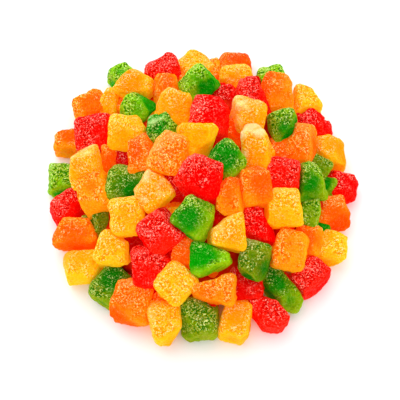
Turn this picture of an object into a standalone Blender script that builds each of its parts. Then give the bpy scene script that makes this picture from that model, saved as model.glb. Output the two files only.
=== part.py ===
"""A heap of candied fruit: about ninety sugared dice of four colours, lying as they fell.

The heap is one solid. Its dice are rounded blocks, wedges and pyramids of about 14 mm, fused to a low
mound that fills the inside. Each die is given by where it is seen from the front, looking down at
VIEW_RISE, and by the outline that it shows there; the mound under it then gives its height.
Metres, +Z up. The origin is on the table under the middle of the heap, and the front faces -Y.
"""

import bmesh
import bpy
import numpy as np

# The view in which the dice are placed: how steeply it looks down, from how far, what one unit of
# that view measures at the aim point, and the place in the view of the aim point.
VIEW_RISE = np.radians(65.0)
VIEW_DISTANCE = 0.275
VIEW_UNIT = 0.000405
VIEW_MIDDLE = (202.0, 205.0)
AIM = (-0.0008, -0.0129, 0.012)

# The mound: where the middles of the dice lie over the table, at the top and at the foot.
MOUND_RADIUS = (0.058, 0.062)
MOUND_TOP = 0.031
MOUND_FOOT = 0.0065

# The inside of the heap, under the dice.
CORE_UNDER = 0.0045
CORE_REACH = 0.84
CORE_SECTORS = 22
CORE_RINGS = 5

# The dice: how much of a half side their rounded edges take, how uneven their corners are, how much
# broader a block is than the outline that its rounded corners leave, how thick it is for its breadth,
# how much smaller its outer face is, and how far it may lean to a side.
ROUNDING = 0.22
UNEVENNESS = 0.12
GROWTH = 1.09
THICKNESS = (0.75, 0.98)
CROWN = (0.80, 1.00)
SIDE_LEAN = np.radians(16.0)
FLOOR_GAP = 0.0002

# How often a block's sides are fitted to its outline, and its height to the mound.
OUTLINE_ROUNDS = 8
HEIGHT_ROUNDS = 12

# More dice show in the gaps: rings of them lie under the rest. Share of the mound's radius and number
# in each ring, side of a die, and how far its middle is below the mound's surface.
BENEATH_RINGS = ((0.12, 3), (0.38, 8), (0.62, 13), (0.86, 21))
BENEATH_SIDE = (0.0095, 0.0120)
BENEATH_DEPTH = 0.0075
BENEATH_LEAN = np.radians(50.0)
BENEATH_SEED = 21

# Levels: on the table at the rim, or this far above or below the mound's surface.
RIM = None
DEEP = -0.0060
LOW = -0.0035
MID = 0.0
TOP = 0.0018

# Each die: where its middle is seen, across and down in the view, breadth and length of its outline in
# millimetres, turn anticlockwise in degrees, how broad its far end is for its near end, backward tip in
# degrees, and level. A die at the rim lies flat, whatever its tip.
MILLIMETRE = 0.001
RED = (
    (97, 133, 17.0, 16.0, 10, 0.90, -8, MID),
    (163, 71, 17.5, 15.0, 3, 0.80, 0, RIM),
    (210, 119, 16.5, 16.5, -5, 0.85, 5, TOP),
    (227, 99, 10.5, 10.5, 20, 0.90, 10, DEEP),
    (248, 99, 23.0, 17.0, 0, 0.28, -5, LOW),
    (311, 124, 14.0, 13.0, -15, 0.80, 0, RIM),
    (323, 131, 8.0, 9.0, -10, 0.80, 0, RIM),
    (127, 160, 9.0, 11.5, 5, 0.90, 0, DEEP),
    (69, 207, 16.0, 14.0, 32, 0.90, 0, RIM),
    (178, 188, 13.5, 14.0, 0, 0.90, 10, DEEP),
    (201, 180, 16.0, 14.5, -25, 0.90, 0, TOP),
    (283, 175, 14.0, 13.5, -8, 0.85, -5, MID),
    (339, 188, 14.5, 13.0, -15, 1.00, 0, RIM),
    (160, 231, 14.5, 14.5, 38, 0.95, 5, TOP),
    (150, 268, 15.5, 17.0, 175, 0.60, 10, MID),
    (138, 245, 10.0, 9.5, 10, 0.90, 0, DEEP),
    (257, 226, 12.0, 14.0, 8, 0.60, 10, LOW),
    (246, 284, 14.0, 15.5, 0, 0.90, 20, DEEP),
    (309, 277, 14.0, 16.0, -40, 1.00, 0, RIM),
    (268, 313, 12.5, 16.0, 34, 0.95, 0, RIM),
    (184, 228, 9.5, 9.5, 20, 0.90, 0, DEEP),
    (292, 186, 10.5, 10.5, 30, 0.90, 0, DEEP),
    (310, 203, 11.5, 11.5, 10, 0.90, 0, DEEP),
    (157, 296, 9.5, 9.5, 10, 0.90, 10, DEEP),
)
ORANGE = (
    (90, 108, 15.0, 14.5, 15, 0.85, 0, RIM),
    (166, 94, 12.0, 16.0, 0, 0.90, 5, LOW),
    (212, 73, 9.0, 14.0, 0, 0.60, 0, RIM),
    (234, 64, 15.0, 11.5, 12, 0.90, 0, RIM),
    (276, 95, 15.5, 15.5, -5, 0.60, 0, MID),
    (235, 134, 10.5, 12.0, 0, 0.90, 0, DEEP),
    (301, 144, 15.0, 15.5, -15, 0.75, 0, MID),
    (73, 144, 14.0, 11.5, -3, 1.00, 0, RIM),
    (97, 194, 15.0, 17.0, 15, 1.00, 12, MID),
    (115, 160, 11.0, 10.0, -5, 0.90, 0, DEEP),
    (142, 153, 11.5, 14.5, 5, 0.85, 0, MID),
    (170, 156, 14.5, 15.0, -20, 0.75, 5, TOP),
    (280, 152, 10.0, 10.5, 10, 0.90, 0, DEEP),
    (255, 187, 13.0, 15.5, 5, 0.90, 10, TOP),
    (231, 197, 12.0, 14.0, 0, 0.70, 5, MID),
    (328, 214, 14.5, 14.5, 5, 0.90, 0, RIM),
    (77, 234, 17.0, 14.0, 0, 0.60, 0, RIM),
    (185, 250, 10.5, 13.5, -5, 0.90, 10, LOW),
    (289, 250, 14.5, 16.5, -12, 0.90, 15, TOP),
    (309, 240, 13.0, 14.5, -10, 0.90, 15, LOW),
    (133, 303, 16.0, 19.5, -10, 0.85, 0, RIM),
    (214, 291, 15.5, 16.5, 90, 0.30, 15, TOP),
    (172, 207, 8.5, 8.5, 10, 0.90, 0, DEEP),
)
YELLOW = (
    (112, 104, 10.5, 15.0, 0, 0.90, 20, LOW),
    (136, 89, 15.0, 13.5, -35, 1.00, 0, MID),
    (128, 134, 15.5, 14.5, -5, 0.95, -5, MID),
    (173, 110, 16.0, 14.5, -10, 0.85, 0, MID),
    (195, 70, 16.0, 15.5, 43, 0.95, 0, RIM),
    (237, 80, 18.0, 14.0, 0, 0.80, -5, LOW),
    (249, 118, 15.5, 15.0, 170, 0.80, -25, TOP),
    (304, 102, 15.0, 17.5, 12, 0.45, 0, RIM),
    (327, 154, 14.5, 16.5, 0, 0.90, 0, RIM),
    (87, 167, 16.5, 16.5, 16, 1.00, -22, TOP),
    (196, 142, 15.5, 12.5, 176, 0.55, 0, TOP),
    (153, 191, 13.5, 13.5, 43, 1.00, 0, TOP),
    (256, 147, 15.5, 18.0, 0, 0.90, -28, TOP),
    (283, 209, 16.0, 15.5, 3, 0.85, 8, TOP),
    (82, 269, 16.0, 15.5, 180, 0.65, 0, RIM),
    (127, 217, 14.5, 14.5, 5, 0.90, 5, TOP),
    (114, 248, 15.5, 15.0, -5, 0.75, 10, MID),
    (176, 283, 13.0, 13.5, -42, 1.00, 10, TOP),
    (227, 233, 17.0, 14.0, 97, 0.45, 5, TOP),
    (330, 247, 13.5, 15.5, -8, 0.85, 0, RIM),
    (166, 322, 14.0, 18.5, -174, 0.60, 0, RIM),
    (236, 320, 13.0, 18.0, -12, 0.80, 0, RIM),
)
GREEN = (
    (122, 78, 14.0, 13.0, 35, 0.90, 0, RIM),
    (136, 113, 15.5, 14.0, -30, 0.95, 0, LOW),
    (198, 85, 16.0, 14.0, 42, 1.00, 0, MID),
    (165, 128, 17.0, 14.0, 10, 0.60, 5, LOW),
    (270, 78, 13.0, 12.0, 18, 0.95, 0, RIM),
    (282, 127, 13.0, 15.5, 180, 0.70, 5, MID),
    (63, 181, 12.0, 14.0, 0, 0.85, 0, RIM),
    (126, 186, 15.5, 14.5, -15, 1.00, 10, LOW),
    (227, 159, 11.0, 12.0, 42, 1.00, 0, TOP),
    (311, 182, 12.5, 15.0, 9, 0.55, 5, TOP),
    (314, 170, 11.0, 11.0, -30, 0.90, 0, DEEP),
    (308, 213, 12.0, 13.0, -25, 0.50, 10, LOW),
    (102, 221, 8.5, 10.5, 10, 0.90, 0, DEEP),
    (112, 285, 14.5, 17.5, -26, 0.90, 0, RIM),
    (194, 217, 14.5, 14.0, -32, 0.85, 5, TOP),
    (211, 259, 16.0, 15.0, -90, 0.35, 10, MID),
    (254, 261, 13.5, 13.5, 167, 0.70, 8, MID),
    (280, 289, 12.0, 19.0, 33, 0.90, 0, RIM),
    (200, 320, 12.5, 17.5, 3, 1.00, 0, RIM),
)
COLOUR_SEEDS = (11, 12, 13, 14)

RIGHT = np.array((1.0, 0.0, 0.0))
UP = np.array((0.0, np.sin(VIEW_RISE), np.cos(VIEW_RISE)))
BACK = np.array((0.0, -np.cos(VIEW_RISE), np.sin(VIEW_RISE)))
EYE = np.array(AIM) + BACK * VIEW_DISTANCE
CORNERS = np.array([(x, y, z) for x in (-1, 1) for y in (-1, 1) for z in (-1, 1)], float)


def mound(x, y):
    """Height of the dice's middles: a dome that falls from MOUND_TOP to MOUND_FOOT."""
    fall = np.clip((x / MOUND_RADIUS[0]) ** 2 + (y / MOUND_RADIUS[1]) ** 2, 0.0, 1.0)
    return MOUND_FOOT + (MOUND_TOP - MOUND_FOOT) * (1.0 - fall)


def die_axes(turn, tip, lean):
    """Unit axes of a die, as rows: across its outline, along it, and out towards the view."""
    out = BACK * np.cos(tip) * np.cos(lean) + UP * np.sin(tip) + RIGHT * np.sin(lean)
    out = out / np.linalg.norm(out)
    along = UP * np.cos(turn) - RIGHT * np.sin(turn)
    along = along - out * (along @ out)
    along = along / np.linalg.norm(along)
    return np.array((np.cross(along, out), along, out))


def die_sides(axes, turn, breadth, length, thickness):
    """Sides of the block that shows an outline of this breadth and length in the view."""
    seen_across = RIGHT * np.cos(turn) + UP * np.sin(turn)
    seen_along = UP * np.cos(turn) - RIGHT * np.sin(turn)
    sides = np.array((breadth, length, 0.0))
    for _ in range(OUTLINE_ROUNDS):
        sides[2] = thickness * np.sqrt(sides[0] * sides[1])
        sides[0] *= breadth / (np.abs(axes @ seen_across) @ sides)
        sides[1] *= length / (np.abs(axes @ seen_along) @ sides)
    return sides


def die(row, rng):
    """Eight corners of a die that shows, ordered as CORNERS."""
    across, down, breadth, length, turn, narrowing, tip, level = row
    jitter = rng.uniform(-UNEVENNESS, UNEVENNESS, (8, 3))
    thickness = rng.uniform(*THICKNESS)
    crown = rng.uniform(*CROWN)
    lean = rng.uniform(-SIDE_LEAN, SIDE_LEAN)
    tip = np.radians(tip)
    if level is RIM:
        tip = np.pi / 2 - VIEW_RISE
        lean = 0.0
        jitter[CORNERS[:, 2] < 0, 2] = 0.0
    turn = np.radians(turn)
    axes = die_axes(turn, tip, lean)
    sides = die_sides(axes, turn, breadth * MILLIMETRE * GROWTH, length * MILLIMETRE * GROWTH, thickness)
    shape = CORNERS.copy()
    shape[:, 0] *= np.where(CORNERS[:, 1] > 0, narrowing, 1.0)
    shape[:, :2] *= np.where(CORNERS[:, 2:] > 0, crown, 1.0)
    offsets = (shape + jitter) * sides / 2.0 @ axes
    standing = FLOOR_GAP - offsets[:, 2].min()
    ray = np.array((across - VIEW_MIDDLE[0], VIEW_MIDDLE[1] - down)) * VIEW_UNIT
    ray = RIGHT * ray[0] + UP * ray[1] - BACK * VIEW_DISTANCE
    height = MOUND_FOOT
    for _ in range(HEIGHT_ROUNDS):
        reach = (height - EYE[2]) / ray[2]
        middle = EYE + ray * reach
        height = standing if level is RIM else max(mound(middle[0], middle[1]) + level, standing)
    return EYE + ray * reach + offsets


def dice_beneath():
    """Corners of the dice in the rings beneath: each is turned, and leans less towards the rim."""
    rng = np.random.default_rng(BENEATH_SEED)
    found = []
    for share, number in BENEATH_RINGS:
        for angle in 2.0 * np.pi * (np.arange(number) + rng.uniform()) / number:
            middle = np.array((np.cos(angle), np.sin(angle))) * MOUND_RADIUS * share
            spin, lean = rng.uniform(-1.0, 1.0, 2) * (np.pi, BENEATH_LEAN * (1.0 - share**2))
            across = np.array((np.cos(spin), np.sin(spin), 0.0))
            out = np.array((np.sin(spin) * np.sin(lean), -np.cos(spin) * np.sin(lean), np.cos(lean)))
            axes = np.array((across, np.cross(out, across), out))
            jitter = rng.uniform(-UNEVENNESS, UNEVENNESS, (8, 3))
            offsets = (CORNERS + jitter) * rng.uniform(*BENEATH_SIDE) / 2.0 @ axes
            standing = FLOOR_GAP - offsets[:, 2].min()
            height = max(mound(*middle) - BENEATH_DEPTH, standing)
            found.append(offsets + (*middle, height))
    return found


def bevelled_block(corners):
    """Mesh of the block on these corners, with its edges and corners cut off: 24 points, 44 triangles."""
    inner = 1.0 - ROUNDING
    points = []
    for corner in CORNERS:
        for axis in range(3):
            point = corner * inner
            point[axis] = corner[axis]
            points.append(point)
    weights = (1.0 + np.array(points)[:, None, :] * CORNERS[None, :, :]).prod(axis=2) / 8.0
    bm = bmesh.new()
    for point in weights @ corners:
        bm.verts.new(point)
    hull = bmesh.ops.convex_hull(bm, input=bm.verts)
    loose = [item for item in hull["geom_interior"] if isinstance(item, bmesh.types.BMVert)]
    bmesh.ops.delete(bm, geom=loose, context="VERTS")
    bmesh.ops.recalc_face_normals(bm, faces=bm.faces)
    return bm


def core():
    """Mesh of the inside: rings that climb the mound from a flat base, CORE_UNDER below the dice's middles."""
    bm = bmesh.new()
    angles = 2.0 * np.pi * np.arange(CORE_SECTORS) / CORE_SECTORS
    circle = np.stack((np.cos(angles), np.sin(angles)), axis=1) * MOUND_RADIUS
    rings = []
    for step in range(CORE_RINGS + 1):
        share = CORE_REACH * (1.0 - max(step - 1, 0) / CORE_RINGS)
        points = circle * share
        heights = mound(points[:, 0], points[:, 1]) - CORE_UNDER
        heights = np.maximum(heights, FLOOR_GAP) if step else np.zeros(CORE_SECTORS)
        rings.append([bm.verts.new((x, y, z)) for (x, y), z in zip(points, heights)])
    for low, high in zip(rings, rings[1:]):
        for i in range(CORE_SECTORS):
            j = (i + 1) % CORE_SECTORS
            bm.faces.new((low[i], low[j], high[j], high[i]))
    bm.faces.new(rings[0][::-1])
    bm.faces.new(rings[-1])
    bmesh.ops.recalc_face_normals(bm, faces=bm.faces)
    return bm


def add_object(name, bm, collection):
    """A mesh object made from bm in the given collection."""
    mesh = bpy.data.meshes.new(name)
    bm.to_mesh(mesh)
    bm.free()
    obj = bpy.data.objects.new(name, mesh)
    collection.objects.link(obj)
    return obj


def keep_largest_shell(obj):
    """Drops loose scraps and fills sealed hollows: only the shell with most faces stays."""
    bm = bmesh.new()
    bm.from_mesh(obj.data)
    bm.faces.ensure_lookup_table()
    seen = set()
    shells = []
    for face in bm.faces:
        if face.index in seen:
            continue
        seen.add(face.index)
        shell = [face]
        for member in shell:
            for edge in member.edges:
                for other in edge.link_faces:
                    if other.index not in seen:
                        seen.add(other.index)
                        shell.append(other)
        shells.append(shell)
    shells.sort(key=len)
    for shell in shells[:-1]:
        bmesh.ops.delete(bm, geom=shell, context="FACES")
    bm.to_mesh(obj.data)
    bm.free()


def fruit_colour():
    """A plain glossy jelly colour for the whole solid."""
    material = bpy.data.materials.new("candied_fruit")
    material.use_nodes = True
    shader = material.node_tree.nodes["Principled BSDF"]
    shader.inputs["Base Color"].default_value = (0.9, 0.25, 0.01, 1.0)
    shader.inputs["Roughness"].default_value = 0.35
    return material


for leftover in list(bpy.data.objects):
    bpy.data.objects.remove(leftover)

dice = bpy.data.collections.new("dice")
bpy.context.scene.collection.children.link(dice)
blocks = dice_beneath()
for rows, seed in zip((RED, ORANGE, YELLOW, GREEN), COLOUR_SEEDS):
    draws = np.random.default_rng(seed)
    blocks += [die(row, draws) for row in rows]
for block in blocks:
    add_object("die", bevelled_block(block), dice)

heap = add_object("fruit_heap", core(), bpy.context.scene.collection)
fuse = heap.modifiers.new("fuse", "BOOLEAN")
fuse.operation = "UNION"
fuse.operand_type = "COLLECTION"
fuse.collection = dice
fuse.solver = "MANIFOLD"
graph = bpy.context.evaluated_depsgraph_get()
fused = bpy.data.meshes.new_from_object(heap.evaluated_get(graph))
heap.modifiers.remove(fuse)
heap.data = fused
for used in list(dice.objects):
    bpy.data.objects.remove(used)
keep_largest_shell(heap)

heap.data.materials.clear()
heap.data.materials.append(fruit_colour())
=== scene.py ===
"""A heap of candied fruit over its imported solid: sugared jelly dice of four colours, on their core."""

import bpy
import numpy as np
from mathutils import Matrix


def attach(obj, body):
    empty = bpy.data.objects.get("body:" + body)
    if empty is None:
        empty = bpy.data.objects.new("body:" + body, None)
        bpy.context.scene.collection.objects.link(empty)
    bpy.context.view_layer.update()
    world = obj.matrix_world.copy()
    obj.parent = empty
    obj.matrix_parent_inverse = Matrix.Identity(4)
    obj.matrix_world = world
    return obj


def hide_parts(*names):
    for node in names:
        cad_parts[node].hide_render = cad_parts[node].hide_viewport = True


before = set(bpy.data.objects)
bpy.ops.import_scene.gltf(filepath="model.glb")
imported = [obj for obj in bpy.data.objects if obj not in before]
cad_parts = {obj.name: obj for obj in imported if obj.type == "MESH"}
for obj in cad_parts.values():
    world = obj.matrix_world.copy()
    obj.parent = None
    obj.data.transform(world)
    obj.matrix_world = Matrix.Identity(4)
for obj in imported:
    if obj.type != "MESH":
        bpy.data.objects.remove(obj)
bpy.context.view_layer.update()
GROUP = "fruit_heap"


# The inside of the heap. The dice at its bottom are pressed together and soaked in their own syrup, so
# that what shows in the deepest gaps is one dark red mass. It fills the space under the dice.

# The mound that the middles of the dice lie on: its half widths, and its heights at the top and at the foot.
MOUND_RADIUS = (0.058, 0.062)
MOUND_TOP = 0.031
MOUND_FOOT = 0.0065

# The core: how far it lies under the mound, its share of the mound's width, its grid, how steeply its edge
# rises, its unevenness, and its gap over the table.
CORE_UNDER = 0.0048
CORE_REACH = 0.83
CORE_STEPS = 40
CORE_EDGE = 5.0
CORE_LUMPS = 0.0005
CORE_LUMP_SIZE = 0.009
CORE_SEED = 5
TABLE_GAP = 0.0001
WAVE_SPREAD = (0.7, 1.4)


def mound(x, y):
    """Height of the dice's middles: a paraboloid that falls from the top to the foot at its elliptic rim."""
    fall = np.clip((x / MOUND_RADIUS[0]) ** 2 + (y / MOUND_RADIUS[1]) ** 2, 0.0, 1.0)
    return MOUND_FOOT + (MOUND_TOP - MOUND_FOOT) * (1.0 - fall)


def lumps(points, length, seed, waves=24):
    """Smooth unevenness with a spread of 1: a sum of sine waves of about this length, in random ways."""
    rng = np.random.default_rng(seed)
    ways = rng.normal(size=(waves, 3))
    ways /= np.linalg.norm(ways, axis=1, keepdims=True) * rng.uniform(*WAVE_SPREAD, (waves, 1)) * length
    phases = rng.uniform(0.0, 2.0 * np.pi, waves)
    return np.sin(2.0 * np.pi * points @ ways.T + phases).sum(axis=1) * np.sqrt(2.0 / waves)


def normals_of(points, quads):
    """Unit normal at each point: the cross products of its quads' diagonals, added up."""
    spans = points[quads[:, 2]] - points[quads[:, 0]], points[quads[:, 3]] - points[quads[:, 1]]
    crosses = np.repeat(np.cross(*spans), 4, axis=0)
    corners = quads.ravel()
    total = np.stack([np.bincount(corners, crosses[:, axis], len(points)) for axis in range(3)], axis=1)
    return total / np.linalg.norm(total, axis=1, keepdims=True)


def add_piece(name, points, quads, material, **shades):
    """A smooth mesh piece from whole arrays. Each of the shades is one number a point, for the material."""
    mesh = bpy.data.meshes.new(name)
    mesh.vertices.add(len(points))
    mesh.vertices.foreach_set("co", points.ravel())
    mesh.loops.add(quads.size)
    mesh.loops.foreach_set("vertex_index", quads.ravel())
    mesh.polygons.add(len(quads))
    mesh.polygons.foreach_set("loop_start", np.arange(0, quads.size, 4))
    mesh.polygons.foreach_set("use_smooth", np.ones(len(quads), bool))
    mesh.update(calc_edges=True)
    for shade, values in shades.items():
        numbers = mesh.attributes.new(shade, "FLOAT", "POINT").data
        numbers.foreach_set("value", np.ascontiguousarray(values, np.float32))
    mesh.materials.append(material)
    piece = bpy.data.objects.new(name, mesh)
    bpy.context.scene.collection.objects.link(piece)
    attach(piece, "root")
    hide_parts(GROUP)
    return piece


class Wire:
    """One socket of a material. Sums, differences and products of wires add their Math nodes."""

    def __init__(self, tree, socket=None):
        self.tree = tree
        self.socket = socket

    def node(self, kind, settings, sockets, output=0):
        """Adds a node: its settings are set first, then each socket is given a value or a link."""
        made = self.tree.nodes.new(kind)
        for name, value in settings.items():
            setattr(made, name, value)
        for name, value in sockets.items():
            self.give(made, name, value)
        return Wire(self.tree, made.outputs[output])

    def give(self, node, name, value):
        """Gives a node's socket a value, or links a wire to it."""
        if isinstance(value, Wire):
            self.tree.links.new(value.socket, node.inputs[name])
        else:
            node.inputs[name].default_value = value

    def math(self, operation, *values):
        return self.node("ShaderNodeMath", {"operation": operation}, dict(enumerate(values)))

    def __add__(self, other):
        return self.math("ADD", self, other)

    def __sub__(self, other):
        return self.math("SUBTRACT", self, other)

    def __rsub__(self, other):
        return self.math("SUBTRACT", other, self)

    def __mul__(self, other):
        return self.math("MULTIPLY", self, other)

    __radd__ = __add__
    __rmul__ = __mul__

    def step(self, low, high):
        """0 below low, 1 above high, and a smooth rise between them."""
        settings = {"interpolation_type": "SMOOTHSTEP", "clamp": True}
        return self.node("ShaderNodeMapRange", settings, {"Value": self, "From Min": low, "From Max": high})

    def blend(self, first, second):
        """The first colour where this wire is 0, and the second where it is 1."""
        settings = {"data_type": "RGBA", "clamp_factor": True}
        return self.node("ShaderNodeMix", settings, {0: self, 6: first, 7: second}, 2)

    def shade(self, name):
        """The number that the mesh gives each point under this name."""
        return self.node("ShaderNodeAttribute", {"attribute_name": name}, {}, "Fac")

    def noise(self, size, detail=2.0, roughness=0.5):
        """Soft random spots of about this size in metres, laid through the piece."""
        sockets = {"Vector": self, "Scale": 1.0 / size, "Detail": detail, "Roughness": roughness}
        return self.node("ShaderNodeTexNoise", {}, sockets)

    def crystals(self, size):
        """Distance from the middles of random grains of about this size in metres, as a share of it."""
        return self.node("ShaderNodeTexVoronoi", {}, {"Vector": self, "Scale": 1.0 / size})


def seen(red, green, blue):
    """The linear colour that an sRGB screen shows for these three numbers from 0 to 255."""
    shown = np.array((red, green, blue)) / 255.0
    return (*np.where(shown < 0.04045, shown / 12.92, ((shown + 0.055) / 1.055) ** 2.4).tolist(), 1.0)


def new_material(name):
    """A new material, its tree, its Principled shader, and the wire of the place in the piece."""
    material = bpy.data.materials.new(name)
    material.use_nodes = True
    tree = material.node_tree
    place = Wire(tree).node("ShaderNodeTexCoord", {}, {}, "Object")
    return material, tree, tree.nodes["Principled BSDF"], place


def syrup():
    """Dark red, wet fruit mass with lighter and deeper patches of about 6 mm and a grain of 1.5 mm."""
    material, _, shader, place = new_material("syrup_soaked_fruit")
    patches = place.noise(0.006).step(0.35, 0.65)
    grain = place.noise(0.0015)
    colour = patches.blend(seen(185, 5, 1), seen(235, 50, 3))
    bump = place.node("ShaderNodeBump", {}, {"Height": grain, "Distance": 0.0003, "Strength": 0.5})
    for socket, value in {
        "Base Color": colour,
        "Roughness": 0.4,
        "Specular IOR Level": 0.02,
        "Subsurface Weight": 1.0,
        "Subsurface Radius": (0.004, 0.0003, 0.0002),
        "Subsurface Scale": 0.5,
        "Normal": bump,
    }.items():
        place.give(shader, socket, value)
    return material


def block_grid(steps):
    """Points and quads of a cube's surface, from -1 to 1: six square grids that share the edges' points."""
    first, second = np.meshgrid(np.arange(steps + 1), np.arange(steps + 1), indexing="ij")
    sides = np.empty((6, steps + 1, steps + 1, 3), int)
    for side in range(6):
        axis, far = side // 2, side % 2
        sides[side, ..., axis] = far * steps
        sides[side, ..., (axis + 1) % 3] = first if far else second
        sides[side, ..., (axis + 2) % 3] = second if far else first
    lattice, index = np.unique(sides.reshape(-1, 3), axis=0, return_inverse=True)
    index = index.reshape(sides.shape[:3])
    quads = np.stack((index[:, :-1, :-1], index[:, 1:, :-1], index[:, 1:, 1:], index[:, :-1, 1:]), axis=-1)
    return lattice * 2.0 / steps - 1.0, quads.reshape(-1, 4)


def core_surface():
    """A ball's grid pressed flat: its upper half lies CORE_UNDER below the mound, its lower on the table."""
    points, quads = block_grid(CORE_STEPS)
    ball = points / np.linalg.norm(points, axis=1, keepdims=True)
    flat = ball[:, :2] * MOUND_RADIUS * CORE_REACH
    rise = np.clip(ball[:, 2] * CORE_EDGE + 0.5, 0.0, 1.0)
    points = np.column_stack((flat, TABLE_GAP + (mound(*flat.T) - CORE_UNDER - TABLE_GAP) * rise))
    relief = CORE_LUMPS * lumps(points, CORE_LUMP_SIZE, CORE_SEED)
    points += normals_of(points, quads) * relief[:, None]
    points[:, 2] = np.maximum(points[:, 2], TABLE_GAP)
    return points, quads


add_piece("fruit_core", *core_surface(), syrup())


# The red dice: papaya or melon flesh boiled in red syrup, dried to a firm jelly, cut into blocks and wedges
# of about 14 mm and rolled in fine sugar. They lie as they fell. Each is placed by where its middle is seen
# in a frame of 400 by 400 from the front, and the mound or the table carries it there.

# The view in which the dice are placed: how steeply it looks down, from how far, what one unit of that
# view measures at the aim point, and the place in the view of the aim point.
VIEW_RISE = np.radians(65.0)
VIEW_DISTANCE = 0.275
VIEW_UNIT = 0.000405
VIEW_MIDDLE = (202.0, 205.0)
AIM = (-0.0008, -0.0129, 0.012)

# How uneven the corners are, how much broader a block is than the outline that its rounded corners leave,
# how thick it is for its breadth, how much smaller its outer face is, and how far it may lean to a side.
UNEVENNESS = 0.12
GROWTH = 1.18
THICKNESS = (0.75, 0.98)
CROWN = (0.80, 1.00)
SIDE_LEAN = np.radians(16.0)
MILLIMETRE = 0.001

# How often a block's sides are fitted to its outline, and its height to the mound.
OUTLINE_ROUNDS = 8
HEIGHT_ROUNDS = 12

# Levels: on the table at the rim, or this far above or below the mound's surface.
RIM = None
DEEP = -0.0060
LOW = -0.0035
MID = 0.0
TOP = 0.0018

# The dice that show only in the gaps: share of the mound's radius and number in each ring, side, how much
# smaller it is at the rim, depth below the mound, lean, each colour's share of them, and the least and
# greatest tone and sugar; their tone is partly painted shade, as they lie low in the gaps.
BENEATH_RINGS = ((0.12, 3), (0.38, 8), (0.62, 13), (0.86, 21))
BENEATH_SIDE = (0.0095, 0.0120)
BENEATH_SHRINK = 0.3
BENEATH_DEPTH = 0.0075
BENEATH_LEAN = np.radians(50.0)
BENEATH_SEED = 21
BENEATH_COLOURS = (0.46, 0.26, 0.18, 0.10)
BENEATH_LOOKS = ((0.3, 0.0), (0.9, 0.3))

# The faces: steps of the grid along an edge, how much of a half side the rounded edges take, how far faces
# sink or bulge, the slanted cuts, how far off the middle the deepest colour lies, and the dents and the
# finer relief of the sugar with their sizes. DIE_APART keeps the relief of one die from the next one's.
DIE_STEPS = 22
BENEATH_STEPS = 12
ROUNDING = (0.30, 0.50)
SINK = (-0.03, 0.05)
CUTS = 9
CUT_REACH = (0.90, 1.32)
CUT_SOFTNESS = 0.03
HEART_SHIFT = 0.3
DENTS = 0.00016
DENT_SIZE = 0.0065
GRAIN = 0.00009
GRAIN_SIZE = 0.0021
GRAIN_WAVES = 40
DIE_APART = 0.07
DIE_SEED = 11
LOOK_SEED = 100

# The jelly: sizes of its cloudy patches, of the sugar's streaks, of the breaks in them and of its crystals.
CLOUD_SIZE = 0.0045
STREAK_SIZE = 0.0009
BREAK_SIZE = 0.0008
CRYSTAL_SIZE = 0.0006

# Where sugar gathers, and painted sheen with it: the weights of sky, upper, heart, clouds, frost and
# frosted, and the sums between which patches and a thin film of it set in. Sky and upper put painted
# sheen on the sides towards the lamp and the view's upper left.
GATHERING = (0.5, 0.25, 0.7, 2.0, 0.5, 0.4)
FROSTED = (0.75, 1.0)
PATCHES = (2.05, 2.7)
FILM = (2.7, 3.4)

# The limits of the noise between which a streak's edge, its breaks, a crystal and the painted shade of a
# pit set in.
STREAK_EDGE = (0.015, 0.04)
STREAK_BREAK = (0.48, 0.53)
CRYSTAL_EDGE = (0.84, 0.88)
PIT_EDGE = (0.44, 0.50)

# How white the crystals, the streaks on bare jelly, the film, and the film on a frosted die are, as sugar
# and partly painted glints and sheen; how dark the painted shade in the pits is on bare jelly, how much
# darker among sugar, and how much the film fills them; how deep the relief is; and how strongly a painted
# glow, an emission, comes out of a die, between its shaded and its bright sides.
CRYSTAL_SHARE = 0.6
BARE_SHARE = 0.1
FILM_SHARE = 0.08
FROST_SHARE = 0.6
PIT_SHARE = 0.2
PIT_SUGARED = 0.7
PIT_FILLED = 0.8
RELIEF = 0.0014
GLOW = 0.25
GLOW_SIDES = (-0.7, 0.8)

# The view's own axes and its eye, the way to the soft lamp, the way to the view's upper left for each half
# die, and the signs of a block's eight corners.
RIGHT = np.array((1.0, 0.0, 0.0))
UP = np.array((0.0, np.sin(VIEW_RISE), np.cos(VIEW_RISE)))
BACK = np.array((0.0, -np.cos(VIEW_RISE), np.sin(VIEW_RISE)))
EYE = np.array(AIM) + BACK * VIEW_DISTANCE
SKY = np.array((-0.32, 0.50, 0.80))
SKY /= np.linalg.norm(SKY)
HALF_DIE = 0.007
UPPER_WAY = (-0.6, 0.8)
UPPER = (RIGHT * UPPER_WAY[0] + UP * UPPER_WAY[1]) / HALF_DIE
CORNERS = np.array([(x, y, z) for x in (-1, 1) for y in (-1, 1) for z in (-1, 1)], float)
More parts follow.
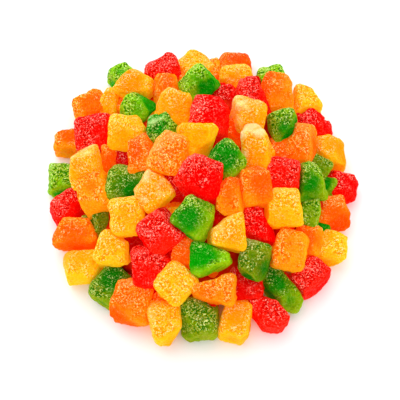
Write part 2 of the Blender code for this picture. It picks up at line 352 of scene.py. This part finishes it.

# Each die: across and down in the frame, breadth and length of its outline in millimetres, turn
# anticlockwise in degrees, how broad its far end is for its near end, backward tip in degrees, its level
# on the mound, how deep its colour is, and how much sugar clings to it. How deep its colour is stands
# partly for the die's own tone and partly for painted shade on the dice that lie deep in the heap; the
# sugar also sets how much painted sheen it takes.
RED = (
    (97, 133, 17.0, 16.0, 10, 0.90, -8, MID, 0.10, 0.60),
    (163, 71, 17.5, 15.0, 3, 0.80, 0, RIM, 0.20, 0.70),
    (210, 119, 16.5, 16.5, -5, 0.85, 5, TOP, 0.00, 0.70),
    (227, 99, 10.5, 10.5, 20, 0.90, 10, DEEP, 0.30, 0.30),
    (248, 99, 23.0, 17.0, 0, 0.28, -5, LOW, 0.10, 0.60),
    (311, 124, 14.0, 13.0, -15, 0.80, 0, RIM, 0.20, 0.40),
    (323, 131, 8.0, 9.0, -10, 0.80, 0, RIM, 0.30, 0.30),
    (127, 160, 9.0, 11.5, 5, 0.90, 0, DEEP, 0.90, 0.00),
    (69, 207, 16.0, 14.0, 32, 0.90, 0, RIM, 0.00, 0.50),
    (178, 188, 13.5, 14.0, 0, 0.90, 10, DEEP, 0.90, 0.10),
    (201, 180, 16.0, 14.5, -25, 0.90, 0, TOP, 0.00, 0.80),
    (283, 175, 14.0, 13.5, -8, 0.85, -5, MID, 0.00, 0.50),
    (339, 188, 14.5, 13.0, -15, 1.00, 0, RIM, 0.20, 0.50),
    (160, 231, 14.5, 14.5, 38, 0.95, 5, TOP, 0.00, 0.80),
    (150, 268, 15.5, 17.0, 175, 0.60, 10, MID, 0.10, 0.50),
    (138, 245, 10.0, 9.5, 10, 0.90, 0, DEEP, 0.90, 0.00),
    (257, 226, 12.0, 14.0, 8, 0.60, 10, LOW, 0.20, 0.50),
    (246, 284, 14.0, 15.5, 0, 0.90, 20, DEEP, 0.50, 0.50),
    (309, 277, 14.0, 16.0, -40, 1.00, 0, RIM, 0.20, 0.60),
    (268, 313, 12.5, 16.0, 34, 0.95, 0, RIM, 0.10, 0.40),
    (184, 228, 9.5, 9.5, 20, 0.90, 0, DEEP, 0.90, 0.00),
    (292, 186, 10.5, 10.5, 30, 0.90, 0, DEEP, 0.90, 0.00),
    (310, 203, 11.5, 11.5, 10, 0.90, 0, DEEP, 0.90, 0.10),
    (157, 296, 9.5, 9.5, 10, 0.90, 10, DEEP, 0.60, 0.10),
)


def die_axes(turn, tip, lean):
    """Unit axes of a die, as rows: across its outline, along it, and out towards the view."""
    out = BACK * np.cos(tip) * np.cos(lean) + UP * np.sin(tip) + RIGHT * np.sin(lean)
    out = out / np.linalg.norm(out)
    along = UP * np.cos(turn) - RIGHT * np.sin(turn)
    along = along - out * (along @ out)
    along = along / np.linalg.norm(along)
    return np.array((np.cross(along, out), along, out))


def die_sides(axes, turn, breadth, length, thickness):
    """Sides of the block that shows an outline of this breadth and length: scaled until its shadow fits."""
    seen_across = RIGHT * np.cos(turn) + UP * np.sin(turn)
    seen_along = UP * np.cos(turn) - RIGHT * np.sin(turn)
    sides = np.array((breadth, length, 0.0))
    for _ in range(OUTLINE_ROUNDS):
        sides[2] = thickness * np.sqrt(sides[0] * sides[1])
        sides[0] *= breadth / (np.abs(axes @ seen_across) @ sides)
        sides[1] *= length / (np.abs(axes @ seen_along) @ sides)
    return sides


def die(row, rng):
    """Eight corners of a die that shows, ordered as CORNERS: a block on the row's ray, set on the mound."""
    across, down, breadth, length, turn, narrowing, tip, level, _, _ = row
    jitter = rng.uniform(-UNEVENNESS, UNEVENNESS, (8, 3))
    thickness = rng.uniform(*THICKNESS)
    crown = rng.uniform(*CROWN)
    lean = rng.uniform(-SIDE_LEAN, SIDE_LEAN)
    tip = np.radians(tip)
    if level is RIM:
        tip = np.pi / 2 - VIEW_RISE
        lean = 0.0
        jitter[CORNERS[:, 2] < 0, 2] = 0.0
    turn = np.radians(turn)
    axes = die_axes(turn, tip, lean)
    sides = die_sides(axes, turn, breadth * MILLIMETRE * GROWTH, length * MILLIMETRE * GROWTH, thickness)
    shape = CORNERS.copy()
    shape[:, 0] *= np.where(CORNERS[:, 1] > 0, narrowing, 1.0)
    shape[:, :2] *= np.where(CORNERS[:, 2:] > 0, crown, 1.0)
    offsets = (shape + jitter) * sides / 2.0 @ axes
    standing = TABLE_GAP - offsets[:, 2].min()
    ray = np.array((across - VIEW_MIDDLE[0], VIEW_MIDDLE[1] - down)) * VIEW_UNIT
    ray = RIGHT * ray[0] + UP * ray[1] - BACK * VIEW_DISTANCE
    height = MOUND_FOOT
    for _ in range(HEIGHT_ROUNDS):
        reach = (height - EYE[2]) / ray[2]
        middle = EYE + ray * reach
        height = standing if level is RIM else max(mound(middle[0], middle[1]) + level, standing)
    return EYE + ray * reach + offsets


def dice_beneath():
    """Corners of the dice that show in the gaps: rings under the rest, turned, and flatter to the rim."""
    rng = np.random.default_rng(BENEATH_SEED)
    found = []
    for share, number in BENEATH_RINGS:
        for angle in 2.0 * np.pi * (np.arange(number) + rng.uniform()) / number:
            middle = np.array((np.cos(angle), np.sin(angle))) * MOUND_RADIUS * share
            spin, lean = rng.uniform(-1.0, 1.0, 2) * (np.pi, BENEATH_LEAN * (1.0 - share**2))
            across = np.array((np.cos(spin), np.sin(spin), 0.0))
            out = np.array((np.sin(spin) * np.sin(lean), -np.cos(spin) * np.sin(lean), np.cos(lean)))
            axes = np.array((across, np.cross(out, across), out))
            jitter = rng.uniform(-UNEVENNESS, UNEVENNESS, (8, 3))
            side = rng.uniform(*BENEATH_SIDE) * (1.0 - BENEATH_SHRINK * share**4)
            offsets = (CORNERS + jitter) * side / 2.0 @ axes
            standing = TABLE_GAP - offsets[:, 2].min()
            height = max(mound(*middle) - BENEATH_DEPTH, standing)
            found.append(offsets + (*middle, height))
    return np.array(found)


def blocks_axes(blocks):
    """The three half sides of each block, as rows: the mean of its corners, each times its signs."""
    return CORNERS.T @ blocks / 8.0


def die_surfaces(blocks, steps, rounding, looks, seed):
    """Points, quads and shades of rounded, lumpy dice on these corners.

    A cube's grid is pulled in to rounded edges, its faces sink or bulge a little towards their middles as
    they do in drying, and what reaches past a few slanted planes is drawn back onto them, as cuts. The
    weights of its eight corners carry it over to each block, and smooth dents and the finer relief of the
    sugar move it along its normals.
    """
    grid, quads = block_grid(steps)
    rounding = rounding[:, None, None]
    inner = np.clip(grid, rounding - 1.0, 1.0 - rounding)
    ways = grid - inner
    rounded = inner + rounding * ways / np.linalg.norm(ways, axis=2, keepdims=True)
    rng = np.random.default_rng(seed)
    open_share = 1.0 - grid**2
    middles = grid * (np.abs(grid) == 1) * np.roll(open_share, 1, axis=1) * np.roll(open_share, 2, axis=1)
    rounded = rounded - middles * rng.uniform(*SINK, (len(blocks), 1, 3))
    for _ in range(CUTS):
        way = rng.normal(size=(len(blocks), 3, 1))
        way /= np.linalg.norm(way, axis=1, keepdims=True)
        past = (rounded @ way - rng.uniform(*CUT_REACH, (len(blocks), 1, 1))) / CUT_SOFTNESS
        rounded = rounded - np.logaddexp(0.0, past) * CUT_SOFTNESS * way.transpose(0, 2, 1)
    weights = (1.0 + rounded[:, :, None, :] * CORNERS).prod(axis=3) / 8.0
    points = (weights @ blocks).reshape(-1, 3)
    quads = (quads + len(grid) * np.arange(len(blocks))[:, None, None]).reshape(-1, 4)
    normals = normals_of(points, quads)
    own = np.repeat(np.arange(len(blocks)), len(grid))
    apart = points + own[:, None] * DIE_APART
    relief = DENTS * lumps(apart, DENT_SIZE, seed) + GRAIN * lumps(apart, GRAIN_SIZE, seed + 1, GRAIN_WAVES)
    points = points + normals * relief[:, None]
    points[:, 2] = np.maximum(points[:, 2], TABLE_GAP)
    heart = np.linalg.norm(rounded - rng.uniform(-HEART_SHIFT, HEART_SHIFT, (len(blocks), 1, 3)), axis=2)
    shades = {
        "heart": heart.ravel(),
        "sky": normals @ SKY,
        "upper": ((rounded @ blocks_axes(blocks)) @ UPPER).ravel(),
        # The die's own tone, with painted shade on the dice that lie deep in the heap; and its sugar, which
        # also brings painted sheen.
        "tone_and_shade": looks[own, 0],
        "frost_and_sheen": looks[own, 1],
    }
    return points, quads, shades


def add_dice(name, rows, colour, material):
    """One piece of all the dice of a colour: those that show, and its share of those beneath."""
    seed = DIE_SEED + colour
    draws = np.random.default_rng(seed)
    shown = np.array([die(row, draws) for row in rows])
    shares = np.random.default_rng(BENEATH_SEED).permutation(sum(number for _, number in BENEATH_RINGS))
    ends = (np.cumsum((0.0,) + BENEATH_COLOURS) * len(shares)).round().astype(int)
    hidden = dice_beneath()[shares[ends[colour]:ends[colour + 1]]]
    draws = np.random.default_rng(LOOK_SEED + seed)
    found = []
    for blocks, steps in ((shown, DIE_STEPS), (hidden, BENEATH_STEPS)):
        rounding = draws.uniform(*ROUNDING, len(blocks))
        looks = np.array([row[8:] for row in rows])
        if blocks is hidden:
            looks = draws.uniform(*BENEATH_LOOKS, (len(blocks), 2))
        found.append(die_surfaces(blocks, steps, rounding, looks, seed))
    points = np.concatenate([surface[0] for surface in found])
    quads = np.concatenate((found[0][1], found[1][1] + len(found[0][0])))
    shades = {shade: np.concatenate([surface[2][shade] for surface in found]) for shade in found[0][2]}
    return add_piece(name, points, quads, material, **shades)


def jelly(name, heart_colours, lit_edge_colours, painted_shade_colour, sugar_and_glint_colours, depths, lit_edge_reach=(1.1, 1.6)):
    """Sugared jelly, whose depths say how far red, green and blue light go in, in metres.

    Each pair of colours is for a pale die and for a deep one; how far a die goes towards the deep one is
    partly painted shade on the dice that lie deep in the heap. The heart's pair shows in the middle of a
    face, and the other pair along the edges, as painted light that comes through. Sugar lies on it as short
    bright streaks and crystals, partly painted glints, most along the edges, to the sky and on frosted dice,
    and there also as a thin film, partly painted sheen, with painted shade in the pits between; what faces
    the sky and the view's upper left takes painted sheen. A painted glow, an emission, comes out of a die's
    sides away from the lamp, as if what falls on its bright side came through.
    """
    material, tree, shader, place = new_material(name)
    heart, sky, upper = place.shade("heart"), place.shade("sky"), place.shade("upper")
    tone_and_shade, frost_and_sheen = place.shade("tone_and_shade"), place.shade("frost_and_sheen")
    clouds = place.noise(CLOUD_SIZE, 1.5)
    streaks = place.noise(STREAK_SIZE, 1.0)
    breaks = place.noise(BREAK_SIZE, 1.0)
    crystals = place.crystals(CRYSTAL_SIZE)

    # How deep the colour is: the die's own tone and cloudy patches, with painted shade on the dice deep in
    # the heap.
    deep = tone_and_shade + (clouds - 0.5) * 0.5
    # Painted light: the lighter colours along the edges, where light would come through the jelly.
    lit_edge = (heart + clouds * 0.5).step(*lit_edge_reach)
    body = lit_edge.blend(deep.blend(*heart_colours), deep.blend(*lit_edge_colours))

    # Sugar, and painted sheen on the sides towards the lamp and the view's upper left and on frosted dice.
    thick_frost_and_sheen = frost_and_sheen.step(*FROSTED)
    causes = (sky, upper, heart, clouds, frost_and_sheen, thick_frost_and_sheen)
    sugar_and_sheen = sum(cause * weight for cause, weight in zip(causes, GATHERING))
    patch_and_sheen = sugar_and_sheen.step(*PATCHES)
    film_and_sheen = sugar_and_sheen.step(*FILM)
    # Painted shade in the pits of the relief, where the breaks dip; deeper among sugar, less under the film.
    painted_pit_shade = (1 - breaks.step(*PIT_EDGE)) * (patch_and_sheen * PIT_SUGARED + PIT_SHARE) * (1 - film_and_sheen * PIT_FILLED)
    body = painted_pit_shade.blend(body, painted_shade_colour)
    # Sugar streaks and crystals, whitened partly as painted glints; the film is partly painted sheen.
    ridges = 1 - place.math("ABSOLUTE", streaks - 0.5).step(*STREAK_EDGE)
    sugar_specks_and_glints = ridges * breaks.step(*STREAK_BREAK) + (1 - crystals).step(*CRYSTAL_EDGE) * CRYSTAL_SHARE
    bright = patch_and_sheen * (1 - BARE_SHARE) + BARE_SHARE
    sugar_and_glints = sugar_specks_and_glints * bright + film_and_sheen * (thick_frost_and_sheen * FROST_SHARE + FILM_SHARE)

    relief = streaks * 0.5 + breaks * 0.5
    bump = place.node("ShaderNodeBump", {}, {"Height": relief, "Distance": RELIEF, "Strength": 1.0})
    # A painted glow: emission of the body colour on the sides away from the lamp, and of the darker shade
    # colour on the sides facing it.
    painted_glow = sky.step(*GLOW_SIDES).blend(body, painted_shade_colour)
    for socket, value in {
        "Base Color": body,
        "Emission Color": painted_glow,
        "Emission Strength": GLOW,
        "Roughness": 0.35,
        "Specular IOR Level": 0.01,
        "Subsurface Weight": 1.0,
        "Subsurface Radius": depths,
        "Subsurface Scale": 0.5,
        "Normal": bump,
    }.items():
        place.give(shader, socket, value)
    # The sugar crust; its pale colour is partly painted glints and sheen.
    grains = {
        "Base Color": film_and_sheen.blend(*sugar_and_glint_colours),
        "Roughness": 0.3,
        "Specular IOR Level": 0.4,
        "Normal": bump,
    }
    crust = place.node("ShaderNodeBsdfPrincipled", {}, grains)
    both = place.node("ShaderNodeMixShader", {}, {0: sugar_and_glints, 1: Wire(tree, shader.outputs[0]), 2: crust})
    tree.links.new(both.socket, tree.nodes["Material Output"].inputs["Surface"])
    return material


# For each jelly below: the colours along the edges are painted light, the pit colour is painted shade and
# also the darker painted glow, and the sugar colours are partly painted glints and sheen.
red_jelly = jelly(
    "red_jelly",
    heart_colours=(seen(255, 2, 1), seen(165, 2, 1)),
    lit_edge_colours=(seen(255, 30, 10), seen(200, 6, 2)),
    painted_shade_colour=seen(184, 3, 2),
    sugar_and_glint_colours=(seen(255, 176, 156), seen(255, 184, 166)),
    depths=(0.0045, 0.0003, 0.0002),
)
add_dice("red_dice", RED, 0, red_jelly)


# The orange dice: papaya boiled in orange syrup, cut and sugared in the same way. Some are redder, and some
# are nearly yellow along their edges, with painted light that comes through.
ORANGE = (
    (90, 108, 15.0, 14.5, 15, 0.85, 0, RIM, 0.35, 0.30),
    (166, 94, 12.0, 16.0, 0, 0.90, 5, LOW, 0.50, 0.20),
    (212, 73, 9.0, 14.0, 0, 0.60, 0, RIM, 0.30, 0.20),
    (234, 64, 15.0, 11.5, 12, 0.90, 0, RIM, 0.90, 0.50),
    (276, 95, 15.5, 15.5, -5, 0.60, 0, MID, 0.55, 0.25),
    (235, 134, 10.5, 12.0, 0, 0.90, 0, DEEP, 0.90, 0.20),
    (301, 144, 15.0, 15.5, -15, 0.75, 0, MID, 0.60, 0.50),
    (73, 144, 14.0, 11.5, -3, 1.00, 0, RIM, 0.40, 0.30),
    (97, 194, 15.0, 17.0, 15, 1.00, 12, MID, 0.20, 0.10),
    (115, 160, 11.0, 10.0, -5, 0.90, 0, DEEP, 0.50, 0.20),
    (142, 153, 11.5, 14.5, 5, 0.85, 0, MID, 0.60, 0.70),
    (170, 156, 14.5, 15.0, -20, 0.75, 5, TOP, 0.45, 0.80),
    (280, 152, 10.0, 10.5, 10, 0.90, 0, DEEP, 0.90, 0.50),
    (255, 187, 13.0, 15.5, 5, 0.90, 10, TOP, 0.50, 0.60),
    (231, 197, 12.0, 14.0, 0, 0.70, 5, MID, 0.25, 0.60),
    (328, 214, 14.5, 14.5, 5, 0.90, 0, RIM, 0.75, 0.30),
    (77, 234, 17.0, 14.0, 0, 0.60, 0, RIM, 0.40, 0.30),
    (185, 250, 10.5, 13.5, -5, 0.90, 10, LOW, 0.80, 0.40),
    (289, 250, 14.5, 16.5, -12, 0.90, 15, TOP, 0.35, 0.10),
    (309, 240, 13.0, 14.5, -10, 0.90, 15, LOW, 0.30, 0.10),
    (133, 303, 16.0, 19.5, -10, 0.85, 0, RIM, 0.60, 0.40),
    (214, 291, 15.5, 16.5, 90, 0.30, 15, TOP, 0.45, 0.40),
    (172, 207, 8.5, 8.5, 10, 0.90, 0, DEEP, 0.80, 0.20),
)

orange_jelly = jelly(
    "orange_jelly",
    heart_colours=(seen(255, 114, 2), seen(248, 48, 1)),
    lit_edge_colours=(seen(255, 170, 16), seen(254, 108, 3)),
    painted_shade_colour=seen(238, 82, 1),
    sugar_and_glint_colours=(seen(255, 226, 146), seen(255, 224, 150)),
    depths=(0.0045, 0.0012, 0.0002),
)
add_dice("orange_dice", ORANGE, 1, orange_jelly)


# The yellow dice: pineapple boiled in plain syrup, cut and sugared in the same way. They are golden where
# they are thick, lighter along the edges with painted light that comes through, and pale where the sugar
# lies on them, partly as painted sheen.
YELLOW = (
    (112, 104, 10.5, 15.0, 0, 0.90, 20, LOW, 0.30, 0.70),
    (136, 89, 15.0, 13.5, -35, 1.00, 0, MID, 0.50, 0.60),
    (128, 134, 15.5, 14.5, -5, 0.95, -5, MID, 0.30, 0.50),
    (173, 110, 16.0, 14.5, -10, 0.85, 0, MID, 0.70, 0.40),
    (195, 70, 16.0, 15.5, 43, 0.95, 0, RIM, 0.50, 0.30),
    (237, 80, 18.0, 14.0, 0, 0.80, -5, LOW, 0.40, 0.50),
    (249, 118, 15.5, 15.0, 170, 0.80, -25, TOP, 0.40, 0.90),
    (304, 102, 15.0, 17.5, 12, 0.45, 0, RIM, 0.10, 0.20),
    (327, 154, 14.5, 16.5, 0, 0.90, 0, RIM, 0.70, 0.30),
    (87, 167, 16.5, 16.5, 16, 1.00, -22, TOP, 0.30, 0.88),
    (196, 142, 15.5, 12.5, 176, 0.55, 0, TOP, 0.00, 0.10),
    (153, 191, 13.5, 13.5, 43, 1.00, 0, TOP, 0.40, 0.90),
    (256, 147, 15.5, 18.0, 0, 0.90, -28, TOP, 0.20, 0.95),
    (283, 209, 16.0, 15.5, 3, 0.85, 8, TOP, 0.40, 0.40),
    (82, 269, 16.0, 15.5, 180, 0.65, 0, RIM, 0.20, 0.20),
    (127, 217, 14.5, 14.5, 5, 0.90, 5, TOP, 0.40, 0.70),
    (114, 248, 15.5, 15.0, -5, 0.75, 10, MID, 0.10, 0.50),
    (176, 283, 13.0, 13.5, -42, 1.00, 10, TOP, 0.30, 0.70),
    (227, 233, 17.0, 14.0, 97, 0.45, 5, TOP, 0.50, 0.80),
    (330, 247, 13.5, 15.5, -8, 0.85, 0, RIM, 0.00, 0.40),
    (166, 322, 14.0, 18.5, -174, 0.60, 0, RIM, 0.50, 0.40),
    (236, 320, 13.0, 18.0, -12, 0.80, 0, RIM, 0.60, 0.50),
)

yellow_jelly = jelly(
    "yellow_jelly",
    heart_colours=(seen(249, 166, 2), seen(246, 130, 2)),
    lit_edge_colours=(seen(251, 196, 24), seen(249, 164, 6)),
    painted_shade_colour=seen(238, 132, 2),
    sugar_and_glint_colours=(seen(255, 238, 172), seen(255, 228, 176)),
    depths=(0.0045, 0.0022, 0.0003),
)
add_dice("yellow_dice", YELLOW, 2, yellow_jelly)


# The green dice: melon boiled in green syrup, cut and sugared in the same way. They are deep green in the
# middle and olive along the edges, with painted light that comes through.
GREEN = (
    (122, 78, 14.0, 13.0, 35, 0.90, 0, RIM, 0.00, 0.40),
    (136, 113, 15.5, 14.0, -30, 0.95, 0, LOW, 0.10, 0.20),
    (198, 85, 16.0, 14.0, 42, 1.00, 0, MID, 0.05, 0.60),
    (165, 128, 17.0, 14.0, 10, 0.60, 5, LOW, 0.10, 0.90),
    (270, 78, 13.0, 12.0, 18, 0.95, 0, RIM, 0.00, 0.30),
    (282, 127, 13.0, 15.5, 180, 0.70, 5, MID, 0.50, 0.50),
    (63, 181, 12.0, 14.0, 0, 0.85, 0, RIM, 0.25, 0.50),
    (126, 186, 15.5, 14.5, -15, 1.00, 10, LOW, 0.80, 0.50),
    (227, 159, 11.0, 12.0, 42, 1.00, 0, TOP, 0.40, 0.70),
    (311, 182, 12.5, 15.0, 9, 0.55, 5, TOP, 0.55, 0.50),
    (314, 170, 11.0, 11.0, -30, 0.90, 0, DEEP, 0.80, 0.20),
    (308, 213, 12.0, 13.0, -25, 0.50, 10, LOW, 0.50, 0.30),
    (102, 221, 8.5, 10.5, 10, 0.90, 0, DEEP, 0.99, 0.40),
    (112, 285, 14.5, 17.5, -26, 0.90, 0, RIM, 0.75, 0.60),
    (194, 217, 14.5, 14.0, -32, 0.85, 5, TOP, 0.40, 0.50),
    (211, 259, 16.0, 15.0, -90, 0.35, 10, MID, 0.00, 0.20),
    (254, 261, 13.5, 13.5, 167, 0.70, 8, MID, 0.90, 0.50),
    (280, 289, 12.0, 19.0, 33, 0.90, 0, RIM, 0.55, 0.40),
    (200, 320, 12.5, 17.5, 3, 1.00, 0, RIM, 0.80, 0.60),
)

green_jelly = jelly(
    "green_jelly",
    heart_colours=(seen(2, 158, 2), seen(18, 98, 1)),
    lit_edge_colours=(seen(150, 202, 10), seen(132, 130, 6)),
    painted_shade_colour=seen(12, 102, 1),
    sugar_and_glint_colours=(seen(228, 246, 146), seen(220, 242, 166)),
    depths=(0.0008, 0.0030, 0.0004),
    lit_edge_reach=(1.15, 1.55),
)
add_dice("green_dice", GREEN, 3, green_jelly)


# The table: a wide plain sheet of matt white board. The heap was poured onto it and lies as it fell, with no
# dish or paper under it.
FLOOR_REACH = 1.5


def white_board():
    """Matt white board with a hardly visible mottle of about 4 cm."""
    material, _, shader, place = new_material("white_board")
    mottle = place.noise(0.04).step(0.3, 0.7)
    place.give(shader, "Base Color", mottle.blend(seen(250, 250, 250), seen(252, 252, 252)))
    place.give(shader, "Roughness", 0.9)
    place.give(shader, "Specular IOR Level", 0.1)
    return material


board = bpy.data.meshes.new("table")
board_corners = [(x * FLOOR_REACH, y * FLOOR_REACH, 0.0) for x, y in ((-1, -1), (1, -1), (1, 1), (-1, 1))]
board.from_pydata(board_corners, [], [(0, 1, 2, 3)])
board.materials.append(white_board())
table = bpy.data.objects.new("table", board)
bpy.context.scene.collection.objects.link(table)


# The light: a tent of thin white cloth lights the heap evenly from all round, and one broad soft lamp shines
# from high behind it on the left.
TENT = 1.1
LAMP_POWER = 1.06
LAMP_SOFTNESS = np.radians(60.0)

world = bpy.data.worlds.new("tent")
world.use_nodes = True
cloth = world.node_tree.nodes["Background"]
cloth.inputs["Color"].default_value = (1.0, 1.0, 1.0, 1.0)
cloth.inputs["Strength"].default_value = TENT
bpy.context.scene.world = world
lamp = bpy.data.lights.new("soft_lamp", "SUN")
lamp.energy = LAMP_POWER
lamp.angle = LAMP_SOFTNESS
lamp_object = bpy.data.objects.new("soft_lamp", lamp)
across = np.cross((0.0, 0.0, 1.0), SKY)
across /= np.linalg.norm(across)
lamp_axes = np.column_stack((across, np.cross(SKY, across), SKY))
lamp_object.matrix_world = Matrix(lamp_axes.tolist()).to_4x4()
bpy.context.scene.collection.objects.link(lamp_object)


# The camera: the view that the dice are placed in, from the front and 65 degrees above the table. Its lens
# is shifted so that the aim point is seen at its own place in the frame.
SENSOR = 36.0
FRAME_SIDE = 400.0
NEAREST = 0.01

lens = bpy.data.cameras.new("camera")
lens.sensor_width = SENSOR
lens.lens = SENSOR * VIEW_DISTANCE / (VIEW_UNIT * FRAME_SIDE)
lens.shift_x = (FRAME_SIDE / 2.0 - VIEW_MIDDLE[0]) / FRAME_SIDE
lens.shift_y = (VIEW_MIDDLE[1] - FRAME_SIDE / 2.0) / FRAME_SIDE
lens.clip_start = NEAREST
camera = bpy.data.objects.new("camera", lens)
camera_axes = np.column_stack((RIGHT, UP, BACK))
camera.matrix_world = Matrix.Translation(EYE.tolist()) @ Matrix(camera_axes.tolist()).to_4x4()
bpy.context.scene.collection.objects.link(camera)
bpy.context.scene.camera = camera
bpy.context.scene.view_settings.view_transform = "Standard"
